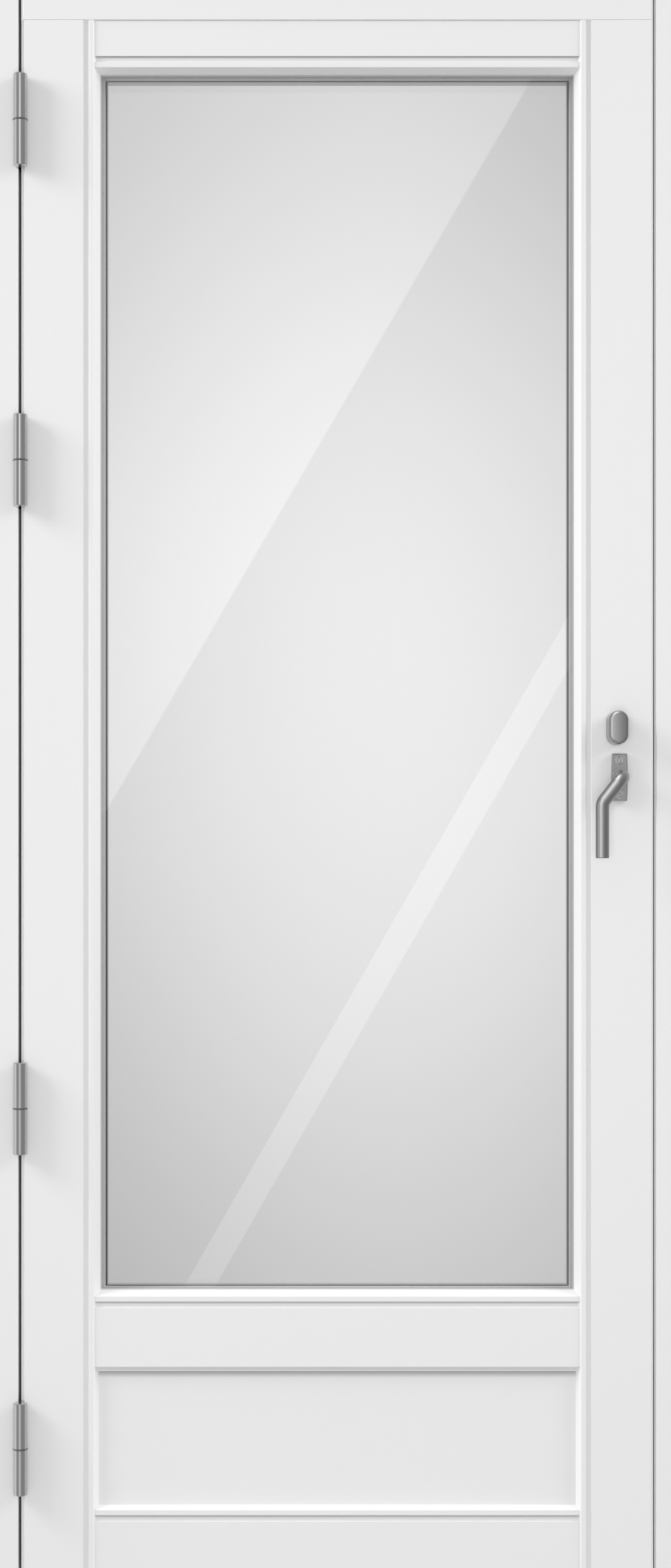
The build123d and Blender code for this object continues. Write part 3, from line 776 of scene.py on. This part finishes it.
class DressLockEdge(bpy.types.Operator):
    """Zinc-plated faceplate, bolts and strikes with their screws."""
    bl_idname = "balcony_door.dress_lock_edge"
    bl_label = "Dress lock edge"

    def execute(self, context):
        finish = context.scene.door_metal
        screw = context.scene.door_screws
        zinc = metal("zinc_lock", finish.lock_colour, finish.lock_roughness, LOCK_GRAIN)
        wear(zinc, ["lock_faceplate", "lock_bolts", "strike_plates"])

        low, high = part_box("lock_faceplate")
        stile_low, stile_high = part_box("leaf_stile_lock")
        out = (stile_high.y - stile_low.y, LOCK_BEVEL, 0.0)
        height = low.z + FACEPLATE_SHARES * (high.z - low.z)
        centres = upright_row(-HINGE_EDGE - LOCK_BEVEL / 2, (stile_low.y + stile_high.y) / 2, height)
        add_screws("faceplate_screws", screw, centres, out, "leaf", zinc)

        low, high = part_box("strike_plates")
        plates = np.array([low.z + STRIKE_HALF, HANDLE_AXIS.z, high.z - STRIKE_HALF])
        height = (plates[:, None] + np.array([-1, 1]) * (STRIKE_HALF - STRIKE_INSET)).ravel()
        centres = upright_row(low.x, (low.y + high.y) / 2, height)
        add_screws("strike_screws", screw, centres, (-1, 0, 0), "frame", zinc)
        return {"FINISHED"}


# Handle

HANDLE_GRAIN = (500, 500, 500)

# Screw covers of the rose: offset from the handle's axis, and their face before the door's
COVER_OFFSET = 21.5 * MM
COVER_FACE = 8.5 * MM


def cover_relief():
    """Screw cover of the rose: a raised ring and a raised dot, turned about the cover's middle."""
    radius = np.array([5.7, 5.7, 5.5, 5.0, 4.6, 4.2, 3.8, 3.4, 1.9, 1.5, 1.0, 0.4]) * MM
    height = np.array([-0.3, 0.08, 0.12, 0.12, 0.7, 0.9, 0.7, 0.12, 0.1, 0.5, 0.7, 0.75]) * MM
    angle = np.linspace(0, 2 * math.pi, 48, endpoint=False)
    return turned(radius[:, None] * np.ones_like(angle), height[:, None], angle)


class DressHandle(bpy.types.Operator):
    """Satin steel lever, rose and thumb-turn, with moulded covers on the rose, in tones of painted light and
    shade.
    """
    bl_idname = "balcony_door.dress_handle"
    bl_label = "Dress handle"

    def execute(self, context):
        finish = context.scene.door_metal
        # One satin steel in three tones of painted light and shade: darkest on lever and thumb-turn, lightest on
        # the covers
        satin = metal("satin_rose", finish.rose_colour, finish.handle_roughness, HANDLE_GRAIN)
        wear(satin, [node for node, slot in SLOT_OF.items() if slot == "satin_steel"])
        lever = metal("satin_lever", finish.handle_colour, finish.handle_roughness, HANDLE_GRAIN)
        wear(lever, ["handle_lever", "thumb_turn"])
        heights = HANDLE_AXIS.z + np.array([-1, 1]) * COVER_OFFSET
        centres = upright_row(HANDLE_AXIS.x, DOOR_FACE - COVER_FACE, heights)
        copies = set_out(cover_relief(), centres, (0, -1, 0))
        cover = metal("satin_cover", finish.cover_colour, finish.handle_roughness, HANDLE_GRAIN)
        dress(closed_copies("rose_covers", copies, crease=60), "leaf", cover)
        return {"FINISHED"}


# Seal

def bulb_profile(width, depth, seal):
    """Section of the seal as (inset, depth): a flat foot on the stop and a half-round bulb before it.

    The bulb is half an ellipse from side to side, as high as the seal is deep less its foot.
    """
    turn = np.linspace(0, math.pi, 13)
    foot = depth[1] - seal.lip
    inset = width / 2 - seal.bulb_radius * np.cos(turn)
    height = foot - (foot - depth[0]) * np.sin(turn)
    corners = np.array([[0, depth[1]], [0, foot]]), np.array([[width, foot], [width, depth[1]]])
    return np.concatenate([corners[0], np.stack([inset, height], axis=-1), corners[1]])


def gap_strip(name, seal):
    """Pale strip, painted light in the gap: a small section carried up the lock jamb and along the head to a
    mitre.

    Through half a turn the section stands out by its reach times a low power of the sine, which
    squares off a half round, and goes back by the half width times one less the cosine.
    """
    half_width = 1.5 * MM
    squareness = 0.4
    turn = np.linspace(0, math.pi, 9)
    inset = seal.strip_reach * np.sin(turn) ** squareness
    depth = DOOR_FACE + seal.strip_depth + half_width * (1 - np.cos(turn))
    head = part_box("frame_head")[1].z - FRAME_FACE
    lock_jamb = -JAMB_EDGE - inset
    x = np.stack([lock_jamb, lock_jamb, np.full_like(inset, JAMB_EDGE)])
    z = np.stack([np.full_like(inset, LEAF_LOW.z), head - inset, head - inset])
    y = np.broadcast_to(depth, x.shape)
    return closed_copies(name, np.stack([x, y, z], axis=-1)[None], crease=50)


class FitSeal(bpy.types.Operator):
    """Bulb seal carried round the stops behind the leaf, and the pale strip that paints light into the gap."""
    bl_idname = "balcony_door.fit_seal"
    bl_label = "Fit seal"

    def execute(self, context):
        seal = context.scene.door_seal
        low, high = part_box("frame_seal")
        profile = bulb_profile(SEAL_WIDTH, (low.y, high.y), seal)
        ring = mitred_ring("stop_seal", profile, low, high, crease=50)
        dark = rubber("seal_rubber", seal.colour, 0.55, pits=400)
        dress(face_outwards(ring), "frame", dark)
        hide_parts("frame_seal")
        # Painted light: the pale strip lightens the gap on the lock side and along the head
        pale = rubber("pale_strip", seal.strip_colour, 0.6, pits=400)
        dress(face_outwards(gap_strip("gap_strip", seal)), "frame", pale)
        return {"FINISHED"}


# Stage

# Glow behind the glass: middle and width as slopes across and upward, lean, fall of the corners
GLOW_SLOPES = (0.0206, 0.0689)
GLOW_WIDTHS = (0.1726, 0.2601)
GLOW_LEAN = 0.041
GLOW_CORNERS = 1.14

# Studio as metal mirrors it: degrees round the door with their levels, and the ceiling over them
STUDIO_LEVELS = (
    (-180, 0.7), (-140, 0.7), (-105, 0.85), (-72, 1.0), (-62, 0.8), (-54, 0.36), (-25, 0.36), (-15, 0.8),
    (1, 0.8), (17, 0.5), (34, 0.32), (95, 0.4), (130, 0.6), (180, 0.7))
CEILING_LEVEL = 0.5
CEILING_RISE = (0.25, 0.5)

# Gain of the soft side light from level to overhead
RIM_LIFT = 0.6

# Lamps: the height they aim at, places before the door's face, sizes
AIM_HEIGHT = 1.05
RAKING_PLACE = (3.6, 0.82, 3.15)
RAKING_SIZE = (1.8, 1.8)
FRONT_PLACE = (0, 2.8, 0.8)
FRONT_SIZE = (1, 1)

# Cards that the handle mirrors: offset from its axis, size
HANDLE_CARDS = {
    "side_card": ((-1.72, -2.46, 1.6), (2.24, 5.5)),
    "top_card": ((-0.9, -1.0, 3.0), (3.0, 2.2)),
}

# Streaks in the glass: ends of the lower edge as (x, z), width, level
STREAKS = {
    "wide_streak": (((-0.291, 1.012), (0.241, 1.928)), 0.6, 0.47),
    "narrow_streak": (((-0.153, 0.406), (0.297, 1.192)), 0.034, 0.36),
}

# Streak cards: distance behind the camera, and length as a share of the streak's
STREAK_BACK = 2.0
STREAK_OVERRUN = 1.3

# Floor: drop under the threshold, and where its fade starts and ends as shares of its radius
FLOOR_DROP = 0.3 * MM
FLOOR_FADE = (0.55, 0.98)


def floor_disc(radius):
    """Level disc: circles of shrinking radius round the origin, just under the threshold."""
    ring = radius * np.linspace(1, 0.02, 24)
    angle = np.linspace(0, 2 * math.pi, 96, endpoint=False)
    points = turned(ring[:, None] * np.ones_like(angle), np.array([[-FLOOR_DROP]]), angle)
    faces = grid_quads(len(ring), len(angle), wrap_rows=False).tolist()
    middle = (np.arange(len(angle)) + (len(ring) - 1) * len(angle)).tolist()
    return new_piece("floor", points, faces + [middle], crease=30)


def floor_material(colour, radius):
    """Matt floor that fades out towards its rim."""
    material, tree, place = blank_material("pale_floor")
    flat = add_node(tree, "ShaderNodeVectorMath", {0: place}, operation="LENGTH").outputs["Value"]
    start, end = [share * radius for share in FLOOR_FADE]
    fade = add_node(
        tree, "ShaderNodeMapRange", {"Value": flat, "From Min": start, "From Max": end},
        interpolation_type="SMOOTHSTEP").outputs[0]
    speckle = add_node(
        tree, "ShaderNodeTexNoise", {"Vector": place, "Scale": 30.0, "Detail": 4.0}).outputs["Fac"]
    darker = [0.97 * value for value in colour]
    tone = mix_colour(tree, speckle, darker, colour)
    matt = add_node(tree, "ShaderNodeBsdfPrincipled", {"Base Color": tone, "Roughness": 0.9})
    clear = add_node(tree, "ShaderNodeBsdfTransparent")
    faded = add_node(tree, "ShaderNodeMixShader", {0: fade, 1: matt.outputs[0], 2: clear.outputs[0]})
    add_node(tree, "ShaderNodeOutputMaterial", {"Surface": faded.outputs[0]})
    return material


def lamp(name, place, aim, size, power, shows):
    """Rectangular lamp aimed at a point, seen only by the kinds of ray listed."""
    data = bpy.data.lights.new(name, "AREA")
    data.shape = "RECTANGLE"
    data.size, data.size_y = size
    data.energy = power
    light = bpy.data.objects.new(name, data)
    light.location = place
    light.rotation_mode = "QUATERNION"
    light.rotation_quaternion = (Vector(aim) - Vector(place)).to_track_quat("-Z", "Y")
    for ray in ("camera", "diffuse", "glossy", "transmission"):
        setattr(light, f"visible_{ray}", ray in shows)
    bpy.context.scene.collection.objects.link(light)
    return light


def streak_card(name, ends, width, level, stage):
    """Lit card behind the camera whose reflection lies across the glass as a straight streak.

    The two ends are points of the glass on the streak's lower edge. A flat mirror shows a card at
    the same angle from the camera's axis, so each end moves out by the ratio of the distances.
    """
    glass_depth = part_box("glass_inner")[0].y - DOOR_FACE
    near = stage.camera_distance + glass_depth
    ratio = (2 * near + STREAK_BACK) / near
    eye = np.array([stage.picture_x, stage.camera_height])
    low, high = [eye + (np.array(end) - eye) * ratio for end in ends]
    along = high - low
    length = np.linalg.norm(along)
    along = along / length
    upper_left = np.array([-along[1], along[0]])
    middle = (low + high) / 2 + upper_left * width * ratio / 2
    place = (middle[0], DOOR_FACE - stage.camera_distance - STREAK_BACK, middle[1])
    size = (width * ratio, length * STREAK_OVERRUN)
    power = level * math.pi * size[0] * size[1]
    card = lamp(name, place, (place[0], 0, place[2]), size, power, ("glossy", "transmission"))
    card.rotation_mode = "XYZ"
    card.rotation_euler = (math.pi / 2, math.atan2(along[0], along[1]), 0)
    return card


def handle_card(name, offset, size, level):
    """Lit card that only the lever and the thumb-turn mirror, facing the handle's axis from an offset."""
    power = level * math.pi * size[0] * size[1]
    card = lamp(name, HANDLE_AXIS + Vector(offset), HANDLE_AXIS, size, power, ("glossy",))
    mirrors = bpy.data.collections.new(f"{name}_mirrors")
    for node in ("handle_lever", "thumb_turn"):
        mirrors.objects.link(NODES[node])
    card.light_linking.receiver_collection = mirrors


def glow_level(tree, direction, stage):
    """Backdrop with a soft glow behind the glass: a bell curve about a slope from the eye.

    With a and u the offsets across and upward in bell widths, a leaning with u, the bell is
    exp(-(a a + u u + k a a u u)), so that its corners fall off fastest.
    """
    x, y, z = [add_node(tree, "ShaderNodeSeparateXYZ", {0: direction}).outputs[axis] for axis in "XYZ"]
    least_ahead = 0.05
    ahead = math_node(tree, "MAXIMUM", y, least_ahead)
    across, upward = [
        math_node(tree, "MULTIPLY_ADD", math_node(tree, "DIVIDE", part, ahead), 1 / width, -slope / width)
        for part, slope, width in zip((x, z), GLOW_SLOPES, GLOW_WIDTHS)]
    leaning = math_node(tree, "MULTIPLY_ADD", upward, GLOW_LEAN, across)
    across_squared = math_node(tree, "MULTIPLY", leaning, leaning)
    upward_squared = math_node(tree, "MULTIPLY", upward, upward)
    corners = math_node(tree, "MULTIPLY", across_squared, upward_squared)
    oval = math_node(tree, "ADD", across_squared, upward_squared)
    spread = math_node(tree, "MULTIPLY_ADD", corners, GLOW_CORNERS, oval)
    bell = math_node(tree, "EXPONENT", math_node(tree, "MULTIPLY", spread, -1.0))
    seen = math_node(tree, "MULTIPLY", bell, math_node(tree, "GREATER_THAN", y, 0.0))
    return math_node(tree, "MULTIPLY_ADD", seen, stage.glow - stage.backdrop, stage.backdrop)


def ambient_level(tree, direction, stage):
    """Soft light from all round.

    In the room most comes from the sides and the top, outside most from straight behind the door.
    """
    y, z = [add_node(tree, "ShaderNodeSeparateXYZ", {0: direction}).outputs[axis] for axis in "YZ"]
    in_room = math_node(tree, "LESS_THAN", y, 0.0)
    sideways = math_node(tree, "MULTIPLY", in_room, math_node(tree, "ADD", y, 1.0))
    topped = math_node(tree, "MULTIPLY", sideways, math_node(tree, "MULTIPLY_ADD", z, RIM_LIFT, 1.0))
    room = math_node(tree, "MULTIPLY_ADD", topped, stage.ambient_rim, stage.ambient)
    return math_node(tree, "MULTIPLY_ADD", math_node(tree, "MAXIMUM", y, 0.0), stage.daylight, room)


def studio_level(tree, direction):
    """Level of the studio as metal shows it: by the angle round the door, under a mid-grey ceiling."""
    x, y, z = [add_node(tree, "ShaderNodeSeparateXYZ", {0: direction}).outputs[axis] for axis in "XYZ"]
    behind = math_node(tree, "MULTIPLY", y, -1.0)
    angle = math_node(tree, "ARCTAN2", x, behind)
    turn = math_node(tree, "MULTIPLY_ADD", angle, 0.5 / math.pi, 0.5)
    ramp = add_node(tree, "ShaderNodeValToRGB", {0: turn})
    elements = ramp.color_ramp.elements
    while len(elements) < len(STUDIO_LEVELS):
        elements.new(0.5)
    for element, (degrees, level) in zip(elements, STUDIO_LEVELS):
        element.position = degrees / 360 + 0.5
        element.color = (level, level, level, 1.0)
    start, end = CEILING_RISE
    ceiling = add_node(
        tree, "ShaderNodeMapRange", {"Value": z, "From Min": start, "From Max": end},
        interpolation_type="SMOOTHSTEP").outputs[0]
    return mix_colour(tree, ceiling, ramp.outputs["Color"], (CEILING_LEVEL,) * 3)


def build_world(stage):
    """Soft ambient light; the eye and the glass meet the glowing backdrop, mirrored rays the studio."""
    world = bpy.data.worlds.new("studio")
    world.use_nodes = True
    tree = world.node_tree
    tree.nodes.clear()
    direction = add_node(tree, "ShaderNodeTexCoord").outputs["Generated"]
    rays = add_node(tree, "ShaderNodeLightPath").outputs
    seen = math_node(tree, "MAXIMUM", rays["Is Camera Ray"], rays["Is Transmission Ray"])
    mirrored = math_node(tree, "GREATER_THAN", rays["Is Glossy Ray"], rays["Is Transmission Ray"])
    ambient = ambient_level(tree, direction, stage)
    plain = mix_colour(tree, seen, ambient, glow_level(tree, direction, stage))
    level = mix_colour(tree, mirrored, plain, studio_level(tree, direction))
    background = add_node(tree, "ShaderNodeBackground", {"Color": level})
    add_node(tree, "ShaderNodeOutputWorld", {"Surface": background.outputs[0]})
    bpy.context.scene.world = world


def place_camera(stage):
    """Camera square to the door, shifted so that the picture's middle falls where it should."""
    data = bpy.data.cameras.new("camera")
    data.sensor_width = 36
    data.lens = data.sensor_width * stage.camera_distance / stage.picture_span
    data.shift_y = (stage.picture_z - stage.camera_height) / stage.picture_span
    camera = bpy.data.objects.new("camera", data)
    camera.location = (stage.picture_x, DOOR_FACE - stage.camera_distance, stage.camera_height)
    camera.rotation_euler = (math.pi / 2, 0, 0)
    bpy.context.scene.collection.objects.link(camera)
    bpy.context.scene.camera = camera


class SetStage(bpy.types.Operator):
    """Pale floor, raking and front lamps, cards to mirror, surroundings and the camera."""
    bl_idname = "balcony_door.set_stage"
    bl_label = "Set stage"

    def execute(self, context):
        stage = context.scene.door_stage
        context.scene.view_settings.view_transform = "Standard"
        floor = floor_disc(stage.floor_radius)
        floor.data.materials.append(floor_material(stage.floor_colour, stage.floor_radius))
        # The lowest hinge mirrors the studio like the others
        floor.visible_glossy = False
        aim = (0, DOOR_FACE, AIM_HEIGHT)
        out, before, height = RAKING_PLACE
        for side, power in ((-1, stage.left_power), (1, stage.right_power)):
            place = (side * out, DOOR_FACE - before, height)
            lamp(f"raking_lamp_{side}", place, aim, RAKING_SIZE, power, ("diffuse",))
        out, before, height = FRONT_PLACE
        place = (out, DOOR_FACE - before, height)
        lamp("front_lamp", place, aim, FRONT_SIZE, stage.front_power, ("diffuse",))
        for name, (offset, size) in HANDLE_CARDS.items():
            handle_card(name, offset, size, stage.card_level)
        for name, (ends, width, level) in STREAKS.items():
            streak_card(name, ends, width, level, stage)
        build_world(stage)
        place_camera(stage)
        return {"FINISHED"}


# Panel and registration

OPERATORS = (PaintWoodwork, GlazeUnit, DressHinges, DressLockEdge, DressHandle, FitSeal, SetStage)
SETTINGS = {
    "door_paint": PaintSettings,
    "door_glass": GlassSettings,
    "door_metal": MetalSettings,
    "door_screws": ScrewSettings,
    "door_ring": RingSettings,
    "door_seal": SealSettings,
    "door_stage": StageSettings,
}


class DoorPanel(bpy.types.Panel):
    """Lists the settings and the operators of the balcony door."""
    bl_idname = "VIEW3D_PT_balcony_door"
    bl_label = "Balcony door"
    bl_space_type = "VIEW_3D"
    bl_region_type = "UI"
    bl_category = "Balcony door"

    def draw(self, context):
        for name in SETTINGS:
            group = getattr(context.scene, name)
            box = self.layout.box()
            for key in group.__annotations__:
                box.prop(group, key)
        for operator in OPERATORS:
            self.layout.operator(operator.bl_idname)


def register():
    """Add the settings, operators and panel."""
    for group in SETTINGS.values():
        bpy.utils.register_class(group)
    for name, group in SETTINGS.items():
        setattr(bpy.types.Scene, name, PointerProperty(type=group))
    for kind in (*OPERATORS, DoorPanel):
        bpy.utils.register_class(kind)


def unregister():
    """Take out the settings, operators and panel."""
    for kind in (*OPERATORS, DoorPanel):
        bpy.utils.unregister_class(kind)
    for name, group in SETTINGS.items():
        delattr(bpy.types.Scene, name)
        bpy.utils.unregister_class(group)


def main():
    """Dress the door and set the stage."""
    register()
    bpy.ops.balcony_door.paint_woodwork()
    bpy.ops.balcony_door.glaze_unit()
    bpy.ops.balcony_door.dress_hinges()
    bpy.ops.balcony_door.dress_lock_edge()
    bpy.ops.balcony_door.dress_handle()
    bpy.ops.balcony_door.fit_seal()
    bpy.ops.balcony_door.set_stage()


if __name__ == "__main__":
    main()
